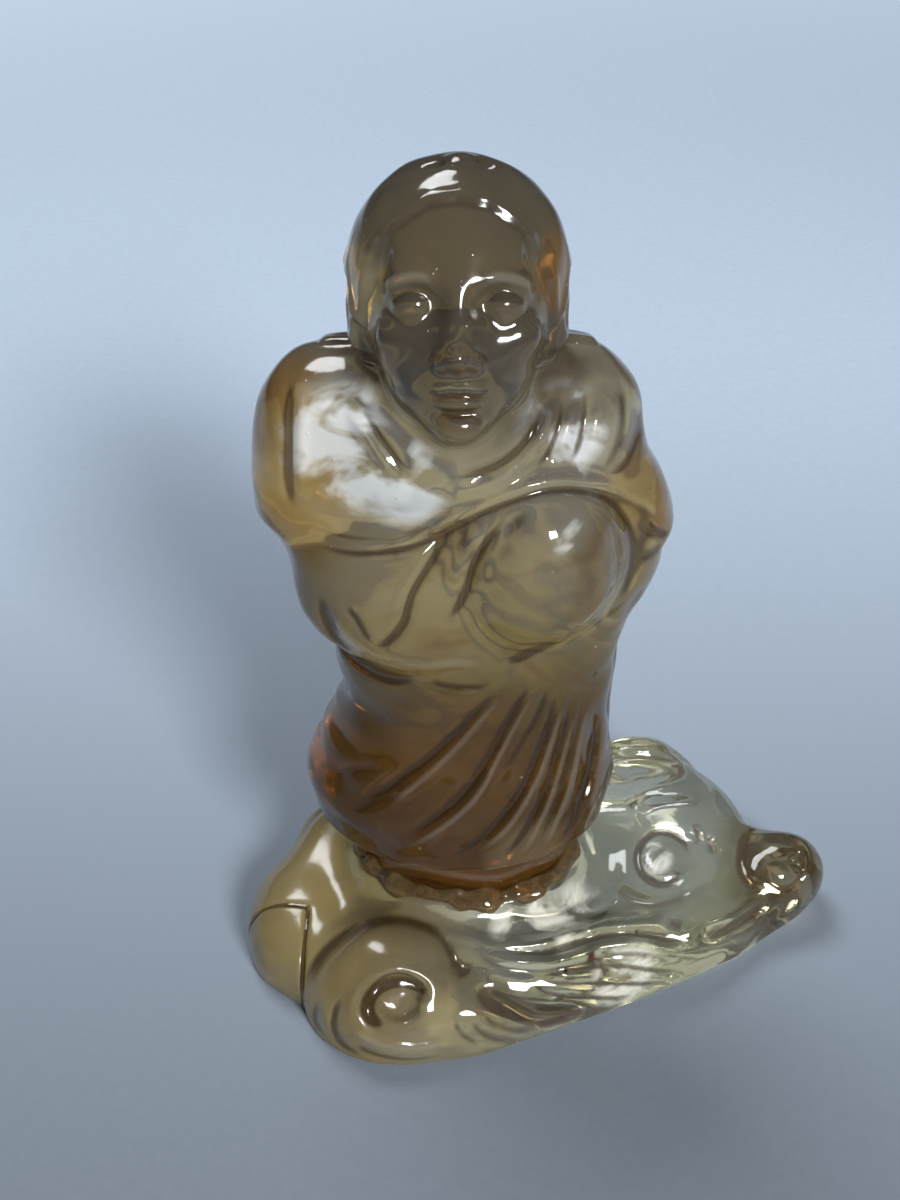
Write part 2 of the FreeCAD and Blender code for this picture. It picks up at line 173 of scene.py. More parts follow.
class Stone:
    """A CAD node as distances on a grid, to be carved and meshed again."""

    def __init__(self, node, voxel):
        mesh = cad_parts[node].data
        mesh.calc_loop_triangles()
        corners = np.zeros(len(mesh.vertices) * 3, np.float32)
        mesh.vertices.foreach_get("co", corners)
        faces = np.zeros(len(mesh.loop_triangles) * 3, np.int32)
        mesh.loop_triangles.foreach_get("vertices", faces)
        self.voxel = voxel
        grid = openvdb.FloatGrid.createLevelSetFromPolygons(
            corners.reshape(-1, 3) / MM,
            triangles=faces.reshape(-1, 3).astype(np.uint32),
            transform=openvdb.createLinearTransform(voxelSize=voxel),
            halfWidth=REACH / voxel,
        )
        low, high = grid.evalActiveVoxelBoundingBox()
        self.low = np.array(low) - MARGIN_CELLS
        self.field = np.empty(np.array(high) - low + 2 * MARGIN_CELLS + 1, np.float32)
        grid.copyToArray(self.field, ijk=tuple(int(i) for i in self.low))
        self.near = np.abs(self.field) < REACH * REACH_SHARE
        self.points = ((np.argwhere(self.near) + self.low) * voxel).astype(np.float32)
        self.depth = self.field[self.near]
        self.groove = np.zeros_like(self.depth)
        slopes = [part[self.near] for part in np.gradient(self.field, voxel)]
        self.normals = np.stack(slopes, 1)
        self.normals /= np.maximum(np.linalg.norm(self.normals, axis=1, keepdims=True), TINY)
        self.project()

    def project(self):
        """Where each point lies in the photograph, and how squarely its surface faces the camera."""
        ahead, upward = np.array(VIEW_AHEAD), np.array(VIEW_UPWARD)
        eye = VIEW_AIM - ahead * VIEW_DISTANCE
        ray = self.points - eye
        away = ray @ ahead
        self.picture = np.stack(
            (
                PHOTO_WIDTH / 2 + PHOTO_FOCUS * ray[:, 0] / away,
                PHOTO_HEIGHT / 2 - PHOTO_FOCUS * (ray @ upward) / away,
            ),
            1,
        )
        facing = -(self.normals * ray).sum(1) / np.linalg.norm(ray, axis=1)
        self.facing = ramp(facing, *FACING_LEVELS)

    def draw(self, places, weight, lines, fade):
        """Lines through places, which are the grid's points as some flat or unrolled picture shows them."""
        shown = np.flatnonzero(weight > LEAST_SHARE)
        spots = places[shown]
        relief = np.zeros(len(shown), np.float32)
        for corners, width, depth in lines:
            relief += line_relief(spots, corners, width, depth, fade)
        self.depth[shown] += relief * weight[shown]
        self.groove[shown] += relief * weight[shown]

    def draw_pixels(self, tables, weight, fade):
        """Tables of lines whose corners are the photograph's pixels and whose widths are millimetres."""
        for table in tables:
            lines = [(corners, width * PIXELS_PER_MM, depth) for corners, width, depth in table]
            self.draw(self.picture, weight, lines, fade)

    def draw_round(self, middle, radius, table, weight):
        """Lines whose corners are degrees round an upright axis from straight behind, and heights."""
        x, y, z = self.points.T
        around = np.degrees(np.arctan2(x - middle[0], y - middle[1]))
        scale = math.radians(1.0) * radius
        lines = [([(turn * scale, height) for turn, height in corners], *size) for corners, *size in table]
        self.draw(np.stack((around * scale, z), 1), weight, lines, FOLD_FADE)

    def mesh(self, name):
        """The carved surface as a new mesh object, in metres."""
        field = self.field.copy()
        field[self.near] = self.depth
        for axis in (0, 1, 2) * SMOOTHINGS:
            ahead, behind = np.roll(field, 1, axis), np.roll(field, -1, axis)
            field = field * SMOOTH_SELF + (ahead + behind) * SMOOTH_BESIDE
        grid = openvdb.FloatGrid(REACH)
        grid.transform = openvdb.createLinearTransform(voxelSize=self.voxel)
        grid.copyFromArray(field, ijk=tuple(int(i) for i in self.low))
        corners, quads = grid.convertToQuads()
        mesh = bpy.data.meshes.new(name)
        mesh.vertices.add(len(corners))
        mesh.vertices.foreach_set("co", (corners * MM).astype(np.float32).ravel())
        mesh.loops.add(len(quads) * 4)
        mesh.loops.foreach_set("vertex_index", quads.astype(np.int32).ravel())
        mesh.polygons.add(len(quads))
        mesh.polygons.foreach_set("loop_start", np.arange(0, len(quads) * 4, 4, dtype=np.int32))
        mesh.polygons.foreach_set("use_smooth", np.ones(len(quads), bool))
        mesh.update(calc_edges=True)
        mesh.validate()
        grooves = mesh.attributes.new(GROOVE, "FLOAT", "POINT")
        grooves.data.foreach_set("value", self.sample_groove(corners))
        return add_object(name, mesh)

    def sample_groove(self, corners):
        """How deep the drawn lines cut at each corner, between the points of the grid."""
        cut = np.zeros_like(self.field)
        cut[self.near] = self.groove
        place = corners / self.voxel - self.low
        cell = np.clip(np.floor(place).astype(int), 0, np.array(cut.shape) - 2)
        part = place - cell
        depth = np.zeros(len(corners), np.float32)
        for step in np.ndindex(2, 2, 2):
            share = np.prod(np.where(step, part, 1 - part), axis=1)
            depth += share * cut[tuple((cell + step).T)]
        return depth


# Head: places are worked out in its own frame, x across, y back and z up from the chin
def head_frame(points):
    x = points[:, 0] - HEAD_AXIS[0]
    y = points[:, 1] - HEAD_AXIS[1]
    up = points[:, 2] - HEAD_PIVOT_Z
    cosine, sine = math.cos(HEAD_TILT), math.sin(HEAD_TILT)
    return np.stack((x, y * cosine - up * sine, up * cosine + y * sine + HEAD_HEIGHT / 2), 1)


# Balls added to the face and taken out of it: centre, radii and blend. One that lies further off the middle
# than MIRROR_FROM is mirrored.
MIRROR_FROM = 0.9
FACE_ADDED = (
    ("nose tip", (0.0, -14.1, 10.5), (1.45, 1.5, 1.35), 0.8),
    ("nose wing", (1.75, -12.9, 9.9), (1.15, 1.25, 1.15), 0.6),
    ("lower lip", (0.0, -11.75, 5.2), (2.7, 1.1, 0.85), 0.5),
    ("chin", (0.0, -10.6, 2.4), (2.4, 1.3, 1.7), 1.5),
    ("cheekbone", (6.6, -9.2, 12.6), (2.4, 1.7, 1.9), 2.0),
)
FACE_HOLLOWS = (
    ("eye socket", (4.9, -13.3, 16.1), (3.5, 2.9, 2.35), 1.2),
    ("nostril", (0.95, -13.9, 8.8), (0.5, 0.8, 0.5), 0.4),
    ("mouth corner", (3.9, -11.9, 6.3), (0.5, 0.6, 0.5), 0.6),
    ("temple", (9.9, -8.4, 20.5), (2.2, 2.0, 3.4), 2.0),
)
EYE = (4.9, -9.1, 15.75)
EYE_RADIUS = 2.45
EYE_BLEND = 0.2
LID_WALL = 0.32
LID_ARCH = 0.10
LOWER_ARCH_SHARE = 0.5
LID_BLEND = 0.15
UPPER_LID_Z = 15.75
LOWER_LID_Z = 14.75

# Lines on the face, seen from the front: corners (x, z), half width and depth, below zero for a raised line
FACE_LINES = (
    (((1.9, 18.3), (4.4, 19.3), (7.4, 18.6), (9.2, 17.0)), 0.75, -0.50),
    (((2.4, 16.1), (3.7, 17.5), (5.6, 17.7), (7.6, 16.2)), 0.26, 0.34),
    (((2.9, 14.0), (4.6, 13.2), (6.6, 13.6)), 0.35, 0.14),
    (((1.9, 11.3), (2.95, 10.5), (2.9, 9.1)), 0.32, 0.34),
    (((3.3, 9.6), (4.2, 8.0), (4.7, 6.4)), 0.60, 0.20),
)
MIDDLE_LINES = (
    (((0.0, 8.7), (0.0, 8.0), (0.0, 7.3)), 0.42, 0.28),
    (((-3.6, 6.4), (-1.6, 7.05), (-0.5, 7.3), (0.0, 7.1), (0.5, 7.3), (1.6, 7.05), (3.6, 6.4)),
     0.42, -0.40),
    (((-3.9, 6.5), (-2.0, 6.15), (-0.7, 6.3), (0.0, 6.15), (0.7, 6.3), (2.0, 6.15), (3.9, 6.5)),
     0.24, 0.65),
    (((-2.4, 4.3), (0.0, 3.95), (2.4, 4.3)), 0.55, 0.50),
)

# Edge of the hair: degrees round from the face, and degrees up from the middle of the head
HAIR_TURNS = (0.0, 20.0, 38.0, 50.0, 58.0, 64.0, 70.0, 75.0, 80.0, 96.0, 104.0, 112.0, 124.0, 180.0)
HAIR_LIFTS = (52.0, 49.0, 38.0, 24.0, 10.0, -3.0, -13.0, -6.0, 14.0, 17.0, 6.0, -20.0, -38.0, -44.0)
HAIR_RISE = 0.55
HAIR_STEP = 0.5
HAIR_RIM = 0.30
HAIR_RIM_WIDTH = 0.7
HAIR_LEVELS = (1.0, 6.0)

# Painted shade at the foot of the hair's edge, kept with the line depths though nothing is cut there: how
# much of it, how far below the edge and how wide, and the heights between which it comes in
FOOT_SHARE = 0.5
FOOT_DROP = 0.45
FOOT_WIDTH = 0.45
FOOT_LEVELS = (17.0, 23.0)

CROWN_ADDED = (("knot", (0.4, -3.0, 30.9), (2.2, 1.7, 1.5), 1.0),)
CROWN_HOLLOWS = (
    ("left pit", (-3.0, -4.0, 31.0), (1.7, 0.75, 0.8), 0.6),
    ("right pit", (3.1, -3.4, 31.1), (1.3, 0.7, 0.8), 0.6),
)
EAR_HOLLOWS = (
    ("ear shell", (13.3, -1.2, 14.2), (0.9, 1.2, 2.2), 0.5),
    ("ear back", (12.2, 2.6, 13.5), (1.6, 0.8, 3.4), 0.8),
)

# What belongs to the head: in its own frame how far under the chin and to each side, and above which height,
# then how far forward the lines of its face start and are whole
HEAD_UNDER = -2.0
HEAD_REACH = 17.0
HEAD_FLOOR_Z = 80.0
FRONT_LEVELS = (5.0, 8.0)


def mirrored(balls):
    for _, centre, radii, blend in balls:
        yield centre, radii, blend
        if centre[0] > MIRROR_FROM:
            yield (-centre[0], *centre[1:]), radii, blend


def carve_head(stone):
    local = head_frame(stone.points)
    inside = (local[:, 2] > HEAD_UNDER) & (np.abs(local[:, 0]) < HEAD_REACH)
    head = np.flatnonzero(inside & (stone.points[:, 2] > HEAD_FLOOR_Z))
    local = local[head]
    depth = stone.depth[head]
    for centre, radii, blend in mirrored(FACE_ADDED):
        depth = merged(depth, ball(local, centre, radii), blend)
    for centre, radii, blend in mirrored(FACE_HOLLOWS):
        depth = hollowed(depth, ball(local, centre, radii), blend)
    depth = carve_eyes(local, depth)
    front = ramp(-local[:, 1], *FRONT_LEVELS)
    flat = local[:, (0, 2)]
    plain = depth.copy()
    for corners, width, drop in FACE_LINES:
        for side in (1, -1):
            path = [(side * x, z) for x, z in corners]
            depth += line_relief(flat, path, width, drop, FACE_FADE) * front
    for corners, width, drop in MIDDLE_LINES:
        depth += line_relief(flat, corners, width, drop, MIDDLE_FADE) * front
    stone.groove[head] += depth - plain
    depth, edge = carve_hair(local, depth)
    # Painted shade at the foot of the hair's edge goes into the line depths only
    stone.groove[head] += edge
    for centre, radii, blend in mirrored(EAR_HOLLOWS):
        depth = hollowed(depth, ball(local, centre, radii), blend)
    stone.depth[head] = depth


def carve_eyes(local, depth):
    for side in (1, -1):
        centre = (side * EYE[0], EYE[1], EYE[2])
        depth = merged(depth, ball(local, centre, (EYE_RADIUS,) * 3), EYE_BLEND)
        lid = ball(local, centre, (EYE_RADIUS + LID_WALL,) * 3)
        arch = LID_ARCH * (local[:, 0] - centre[0]) ** 2
        upper = np.maximum(lid, UPPER_LID_Z - arch - local[:, 2])
        lower = np.maximum(lid, local[:, 2] - LOWER_LID_Z - LOWER_ARCH_SHARE * arch)
        depth = merged(merged(depth, upper, LID_BLEND), lower, LID_BLEND)
    return depth


def carve_hair(local, depth):
    """The cap of hair, and the painted shade that its edge leaves above the brow."""
    centred = local - np.array((0.0, 0.0, HEAD_HEIGHT / 2), np.float32)
    turn = np.degrees(np.arctan2(np.abs(centred[:, 0]), -centred[:, 1]))
    lift = np.degrees(np.arctan2(centred[:, 2], np.hypot(centred[:, 0], centred[:, 1])))
    edge = np.interp(turn, HAIR_TURNS, HAIR_LIFTS)
    degrees = np.arange(HAIR_TURNS[-1] + 1)
    steep = np.interp(turn, degrees, np.gradient(np.interp(degrees, HAIR_TURNS, HAIR_LIFTS)))
    inside = np.radians(lift - edge) * HEAD_RADIUS / np.hypot(1.0, steep)
    rim = HAIR_RIM * np.exp(-(((inside - HAIR_STEP) / HAIR_RIM_WIDTH) ** 2))
    depth -= (HAIR_RISE * ramp(inside, -HAIR_STEP, HAIR_STEP) + rim) * ramp(local[:, 2], *HAIR_LEVELS)
    foot = FOOT_SHARE * HAIR_RISE * np.exp(-(((inside + FOOT_DROP) / FOOT_WIDTH) ** 2))
    foot = foot * ramp(local[:, 2], *FOOT_LEVELS)
    for centre, radii, blend in mirrored(CROWN_ADDED):
        depth = merged(depth, ball(local, centre, radii), blend)
    for _, centre, radii, blend in CROWN_HOLLOWS:
        depth = hollowed(depth, ball(local, centre, radii), blend)
    return depth, foot


# Lines of the robe: the photograph's pixels, half width and depth in millimetres, below zero where raised
MANTLE_PIXELS = (
    (((294, 521), (320, 531), (350, 538), (380, 540), (410, 534), (440, 516), (479, 500),
      (515, 488)), 0.45, 0.45),
    (((298, 534), (320, 545), (350, 552), (380, 551), (410, 546), (437, 535), (465, 521), (491, 508),
      (518, 498), (545, 490), (569, 489), (590, 492), (620, 498), (650, 513), (671, 528)), 0.55, 0.80),
    (((300, 527), (335, 541), (365, 546), (395, 543), (420, 536), (445, 522), (470, 510), (495, 500),
      (520, 491), (545, 483), (575, 480), (605, 485), (635, 497), (660, 512)), 0.85, -0.55),
    (((299, 500), (320, 511), (350, 518), (380, 518), (412, 514)), 0.35, 0.22),
    (((302, 347), (295, 370), (290, 405), (289, 440), (290, 488), (297, 516)), 0.60, 0.75),
    (((312, 350), (305, 380), (301, 415), (300, 460), (302, 500)), 0.80, -0.35),
)
COLLAR_PIXELS = (
    (((548, 359), (552, 380), (551, 407), (545, 431), (533, 452), (515, 470), (494, 483), (470, 489),
      (450, 491)), 0.60, -0.75),
    (((540, 362), (542, 385), (541, 407), (534, 428), (520, 448), (500, 464), (475, 474),
      (448, 478)), 0.55, 0.55),
    (((558, 362), (562, 385), (561, 410), (556, 434), (546, 456), (530, 474)), 0.45, 0.50),
    (((565, 374), (572, 401), (570, 425), (562, 446), (552, 466)), 0.55, -0.60),
    (((579, 366), (584, 392), (584, 420), (578, 446), (568, 468)), 0.45, 0.50),
    (((590, 365), (597, 389), (599, 416), (594, 446), (584, 468)), 0.80, -0.60),
    (((616, 372), (622, 398), (621, 430), (612, 456), (598, 476)), 0.55, 0.40),
    (((350, 356), (360, 400), (376, 430), (392, 452), (404, 470), (416, 482)), 0.50, 0.50),
    (((342, 360), (350, 404), (366, 438), (384, 462), (400, 482)), 0.70, -0.50),
    (((640, 398), (637, 430), (626, 462), (604, 480)), 0.50, 0.45),
    (((455, 500), (440, 488), (425, 490), (412, 500)), 0.60, -0.35),
)
SLEEVE_PIXELS = (
    (((452, 530), (440, 547), (425, 570), (413, 590), (407, 608), (403, 623), (392, 638), (380, 646),
      (366, 645)), 0.50, 0.80),
    (((436, 540), (420, 566), (404, 592), (396, 612), (386, 628)), 0.80, -0.35),
    (((492, 514), (471, 541), (458, 568), (448, 590)), 0.85, -0.50),
    (((502, 519), (486, 542), (473, 566), (466, 590), (455, 611), (444, 622)), 0.50, 0.75),
    (((514, 520), (498, 545), (486, 572), (478, 596)), 0.70, -0.30),
    (((533, 507), (511, 529), (494, 556), (482, 584)), 0.90, 0.35),
    (((345, 605), (356, 617), (365, 632), (371, 645)), 0.40, 0.55),
    (((569, 488), (590, 497), (608, 512), (620, 530), (624, 554), (618, 579), (606, 602), (587, 620),
      (563, 634), (545, 642), (522, 654)), 0.45, -0.45),
    (((578, 486), (600, 494), (618, 509), (630, 530), (633, 554), (628, 581), (614, 607)), 0.50, 0.55),
    (((568, 634), (545, 645), (524, 655), (503, 664)), 0.50, 0.70),
    (((317, 590), (329, 620), (344, 645), (362, 663), (383, 675), (401, 679), (424, 677)), 0.70, 0.95),
    (((326, 600), (344, 632), (365, 652), (392, 663), (422, 666), (458, 663), (500, 664)), 0.65, -0.60),
    (((424, 679), (445, 685), (470, 687), (493, 685)), 0.40, 0.45),
    (((636, 520), (650, 530), (662, 534), (671, 533)), 0.60, 0.60),
    (((640, 560), (652, 552), (664, 545)), 0.60, 0.45),
    (((645, 584), (634, 606), (625, 630)), 0.50, 0.45),
    (((640, 500), (646, 525), (640, 550), (636, 580)), 0.70, 0.40),
)
SKIRT_PIXELS = (
    (((522, 680), (491, 707), (469, 734), (446, 758), (415, 785), (393, 801), (362, 816)), 0.60, -0.45),
    (((514, 682), (484, 705), (458, 731), (432, 755), (404, 776), (372, 796), (345, 806)), 0.60, 0.55),
    (((551, 673), (531, 698), (513, 729), (498, 758), (480, 792), (460, 814), (433, 834), (406, 848),
      (384, 854)), 0.50, -0.50),
    (((545, 673), (522, 699), (504, 729), (488, 758), (470, 786), (448, 808), (420, 828),
      (392, 841)), 0.55, 0.60),
    (((553, 678), (542, 705), (527, 734), (512, 760), (500, 785)), 0.45, 0.40),
    (((569, 680), (560, 714), (550, 747), (540, 774), (526, 801), (506, 830), (484, 848),
      (460, 860)), 0.50, -0.50),
    (((562, 682), (552, 714), (540, 747), (528, 776), (514, 802), (494, 826), (470, 846),
      (440, 860)), 0.50, 0.60),
    (((580, 690), (571, 729), (563, 756), (555, 785), (542, 819), (524, 850), (504, 866)), 0.50, -0.50),
    (((574, 690), (565, 725), (555, 760), (546, 788), (532, 818), (514, 846), (494, 864)), 0.45, 0.60),
    (((592, 690), (582, 729), (575, 765), (568, 792), (554, 825), (540, 857)), 0.55, -0.60),
    (((586, 690), (577, 728), (568, 765), (560, 795), (547, 826), (531, 856)), 0.45, 0.55),
    (((596, 712), (592, 745), (584, 785), (572, 820), (560, 846)), 0.45, 0.60),
    (((603, 707), (605, 735), (602, 765), (596, 796), (586, 822)), 0.75, -0.55),
    (((330, 776), (352, 770), (384, 770)), 0.70, 0.30),
    (((345, 812), (376, 804), (402, 793)), 0.50, 0.30),
    (((344, 850), (357, 861), (379, 865), (408, 866), (435, 871), (460, 876), (482, 878), (504, 876),
      (527, 867), (549, 858), (567, 849), (582, 834), (592, 819)), 0.55, -0.40),
    (((336, 852), (352, 871), (379, 879), (408, 880), (435, 885), (460, 890), (482, 892), (504, 890),
      (527, 881), (549, 872), (570, 861), (588, 842), (598, 822)), 0.45, 0.60),
)


# The heights at which the neck ends the robe's lines
NECK_LEVELS = (94.0, 90.0)


def carve_front(stone):
    """The robe's lines as the photograph shows them, on what faces the camera below the head."""
    clear = stone.facing * ramp(stone.points[:, 2], *NECK_LEVELS)
    stone.draw_pixels((MANTLE_PIXELS, COLLAR_PIXELS, SLEEVE_PIXELS, SKIRT_PIXELS), clear, FOLD_FADE)


# Lines of the back: degrees round from straight behind, towards +X, and height; half width and depth
BACK_LINES = (
    (((-70, 80), (-40, 74), (-10, 66), (20, 56), (52, 44), (84, 36)), 0.90, 0.70),
    (((-78, 86), (-44, 81), (-8, 74), (26, 64), (60, 52), (92, 44)), 0.80, 0.55),
    (((-66, 72), (-36, 65), (-8, 56), (18, 46), (44, 36), (70, 30)), 0.90, 0.60),
    (((-80, 62), (-52, 56), (-26, 47), (-4, 38), (18, 30)), 0.80, 0.55),
    (((-95, 52), (-70, 47), (-46, 39), (-28, 30)), 0.70, 0.50),
    (((-30, 90), (0, 86), (30, 84), (60, 80)), 0.80, 0.45),
    (((-96, 44), (-82, 36), (-72, 27)), 0.60, 0.45),
    (((96, 60), (100, 48), (98, 36), (104, 27)), 0.70, 0.45),
    (((62, 42), (74, 34), (80, 26)), 0.60, 0.45),
    (((-60, 34), (-52, 29), (-47, 25)), 0.50, 0.45),
    (((30, 34), (40, 29), (46, 25)), 0.55, 0.45),
    (((-10, 33), (-2, 28), (2, 25)), 0.55, 0.40),
    (((-125, 45.5), (-100, 43.6), (-78, 43.0)), 0.90, -0.55),
    (((-125, 41.8), (-100, 40.2), (-78, 40.0)), 0.80, 0.70),
    (((-125, 38.0), (-100, 36.8), (-78, 37.0)), 0.90, -0.45),
    (((-125, 34.0), (-100, 33.2), (-78, 34.0)), 0.80, 0.55),
)


# Ripple of the hand-polished surface: its waves by direction and shift, their height, and how they wander
RIPPLE_WAVES = (
    ((0.9, 0.2, 0.5), 0.6),
    ((-0.3, 0.8, 0.4), 1.9),
    ((0.5, -0.6, 0.7), 3.1),
    ((0.2, 0.5, -0.9), 4.4),
    ((-0.8, 0.3, 0.6), 5.2),
)
RIPPLE_HEIGHT = 0.035
WANDER = 1.7
WANDER_RATE = 0.31


def ripple(points):
    """The unevenness of a surface that was cut and polished by hand, in millimetres."""
    rise = np.zeros(len(points), np.float32)
    for direction, shift in RIPPLE_WAVES:
        wander = WANDER * np.sin(points[:, 2] * WANDER_RATE + shift)
        rise += np.sin(points @ np.array(direction, np.float32) + shift + wander)
    return RIPPLE_HEIGHT * rise


def make_piece(node, name, voxel, carve, material):
    """A carved copy of a node, standing in for it."""
    stone = Stone(node, voxel)
    carve(stone)
    piece = stone.mesh(name)
    piece.data.materials.append(material)
    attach(piece, "root")
    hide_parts(node)


def carve_figure(stone):
    carve_head(stone)
    carve_front(stone)
    stone.draw_round(BODY_AXIS, BODY_RADIUS, BACK_LINES, 1.0 - stone.facing)
    stone.depth += ripple(stone.points)


# Lines of the base as the photograph shows them: pixels, half width and depth in millimetres
CURL_PIXELS = (
    (((307, 1003), (308, 985), (314, 968), (326, 951), (346, 935), (371, 924), (395, 920), (420, 925),
      (438, 934), (449, 947), (454, 963), (453, 980), (447, 996)), 0.80, 0.60),
    (((440, 996), (426, 980), (406, 973), (384, 974), (366, 982), (355, 997), (352, 1014),
      (360, 1030)), 0.60, -0.45),
    (((432, 996), (418, 985), (400, 981), (383, 985), (371, 995), (367, 1009), (374, 1021),
      (388, 1026)), 0.75, 1.20),
    (((424, 1010), (416, 1000), (404, 994), (392, 998), (388, 1010)), 0.50, -0.45),
    (((342, 996), (336, 1011), (334, 1026), (339, 1039), (350, 1051), (366, 1060)), 0.40, 0.75),
    (((320, 1000), (315, 1014), (318, 1029), (327, 1042), (340, 1054)), 0.40, 0.65),
    (((352, 1034), (364, 1048), (385, 1056), (412, 1060), (445, 1056)), 0.50, 0.60),
    (((350, 1024), (364, 1039), (388, 1048), (418, 1050), (450, 1042)), 0.70, -0.80),
    (((452, 958), (462, 966), (470, 976)), 0.50, 0.55),
    (((458, 980), (466, 968), (476, 962)), 0.45, 0.45),
)
WAVE_PIXELS = (
    (((430, 922), (464, 929), (495, 936), (529, 936), (556, 928), (582, 920), (613, 916),
      (645, 915)), 0.60, 0.50),
    (((430, 930), (464, 938), (495, 945), (529, 945), (556, 937), (582, 929), (613, 925), (647, 924),
      (684, 914)), 0.85, -1.00),
    (((475, 945), (510, 951), (545, 952), (575, 945), (605, 936), (640, 934), (668, 940),
      (700, 944)), 0.75, 1.05),
    (((470, 951), (508, 959), (540, 961), (571, 955), (590, 947), (613, 942), (639, 942), (662, 947),
      (705, 954)), 0.70, -0.80),
    (((472, 962), (510, 969), (545, 971), (578, 965), (604, 957), (640, 954), (684, 962)), 0.55, 0.50),
    (((474, 986), (497, 1000), (524, 1011), (550, 1016), (572, 1015), (590, 1009)), 1.40, 1.60),
    (((470, 976), (494, 990), (529, 1000), (566, 1004), (590, 1003)), 0.45, -0.40),
    (((561, 970), (592, 967), (621, 966), (652, 970), (691, 972)), 0.36, 0.62),
    (((527, 976), (542, 981), (576, 984), (613, 983), (647, 984), (680, 981)), 0.36, 0.62),
    (((529, 987), (548, 993), (576, 997), (613, 998), (642, 996)), 0.36, 0.60),
    (((479, 1010), (491, 1022), (511, 1030), (534, 1032), (552, 1031)), 0.38, 0.60),
    (((470, 1018), (481, 1033), (497, 1040), (514, 1043)), 0.38, 0.55),
    (((452, 1020), (464, 1036), (480, 1046)), 0.38, 0.50),
    (((500, 905), (530, 916), (562, 912), (590, 902), (612, 892)), 0.80, 0.35),
    (((498, 893), (520, 903), (550, 902), (576, 893)), 0.60, -0.35),
)
RIGHT_PIXELS = (
    (((610, 877), (618, 890), (637, 901), (655, 905), (678, 899), (694, 884)), 0.60, 0.50),
    (((699, 791), (672, 794), (649, 797), (636, 806), (638, 819), (645, 828), (640, 843)), 0.50, -0.65),
    (((706, 802), (680, 804), (655, 808), (647, 816), (654, 828)), 0.50, 0.45),
    (((694, 826), (698, 836), (699, 846)), 0.55, 0.55),
    (((706, 836), (711, 846), (712, 856)), 0.55, 0.55),
    (((610, 760), (639, 757), (665, 760), (684, 765)), 0.50, 0.55),
    (((612, 752), (640, 749), (666, 752), (684, 757)), 0.50, -0.35),
    (((718, 780), (712, 800), (722, 818), (738, 826)), 0.60, 0.35),
    (((752, 826), (743, 845), (741, 866), (749, 882), (764, 892)), 0.70, 0.80),
    (((762, 834), (788, 838), (802, 855), (800, 876), (786, 888), (771, 883), (766, 869), (774, 859),
      (786, 863)), 0.45, 0.55),
    (((700, 938), (725, 930), (747, 917), (768, 901)), 0.65, 0.95),
    (((688, 926), (715, 919), (742, 905), (764, 890)), 0.60, -0.45),
    (((715, 946), (745, 936), (772, 919), (795, 898), (810, 878)), 0.40, 0.40),
    (((662, 918), (672, 924), (684, 928)), 0.70, 0.70),
    (((620, 893), (610, 907), (597, 918), (584, 924)), 0.28, 0.45),
)

# The ring on the right swell: its middle, its radius, its half width and depth, where its line starts and
# ends, and how many corners it has
RING_PIXELS = (663, 858)
RING_RADIUS_PIXELS = 26.0
RING_LINE = (0.55, 0.85)
RING_ENDS = (0.3, 0.2 + math.tau)
RING_POINTS = 14

# Balls taken out of the base, in the frame of the part: centre, radii and blend
BASE_HOLLOWS = (
    ("eye of the front left curl", (-21.4, -24.8, 10.6), (3.3, 3.3, 3.3), 1.2),
    ("eye of the end curl", (37.6, 1.6, 10.9), (1.2, 1.2, 1.2), 0.6),
)

# Lines of the base's far side seen from above: corners (x, y), half width and depth
REAR_LINES = (
    (((-40, 4), (-34, 12), (-24, 18), (-10, 21), (6, 23)), 0.80, 0.60),
    (((-36, 2), (-31, 9), (-22, 14), (-10, 17.5), (4, 19)), 0.70, -0.50),
    (((28, 24), (20, 25.5), (10, 24), (0, 21)), 0.70, 0.55),
    (((31, 18), (28, 21), (22, 21.5), (17, 19)), 0.60, 0.50),
)
# Lines round its rear wall: degrees from straight behind, towards +X, and height
WALL_LINES = (
    (((-80, 4.2), (-55, 5.6), (-28, 4.4), (0, 5.8), (26, 4.6), (48, 6.0)), 0.60, 0.50),
    (((-70, 2.6), (-44, 3.6), (-18, 2.6), (8, 3.8), (34, 2.8)), 0.50, 0.45),
    (((-92, 6.6), (-70, 8.0), (-46, 7.0), (-22, 8.2)), 0.60, 0.45),
)
WALL_RADIUS = 32.0

# The heights over which carving starts above the flat underside, and how far a surface has to look up to be
# carved from above
REST_LEVELS = (0.6, 2.2)
TOP_LEVELS = (0.2, 0.5)


def ring_line():
    """The ring as one drawn line."""
    corners = [
        (
            RING_PIXELS[0] + RING_RADIUS_PIXELS * math.cos(turn),
            RING_PIXELS[1] + RING_RADIUS_PIXELS * math.sin(turn),
        )
        for turn in np.linspace(*RING_ENDS, RING_POINTS)
    ]
    return (corners, *RING_LINE)


def carve_base(stone):
    for _, centre, radii, blend in BASE_HOLLOWS:
        stone.depth = hollowed(stone.depth, ball(stone.points, centre, radii), blend)
    above = ramp(stone.points[:, 2], *REST_LEVELS)
    tables = (CURL_PIXELS, WAVE_PIXELS, RIGHT_PIXELS, (ring_line(),))
    stone.draw_pixels(tables, stone.facing * above, WAVE_FADE)
    top = ramp(stone.normals[:, 2], *TOP_LEVELS) * above
    stone.draw(stone.points[:, :2], top, REAR_LINES, FOLD_FADE)
    stone.draw_round((0.0, 0.0), WALL_RADIUS, WALL_LINES, (1.0 - stone.facing) * above)
    stone.depth += ripple(stone.points) * above


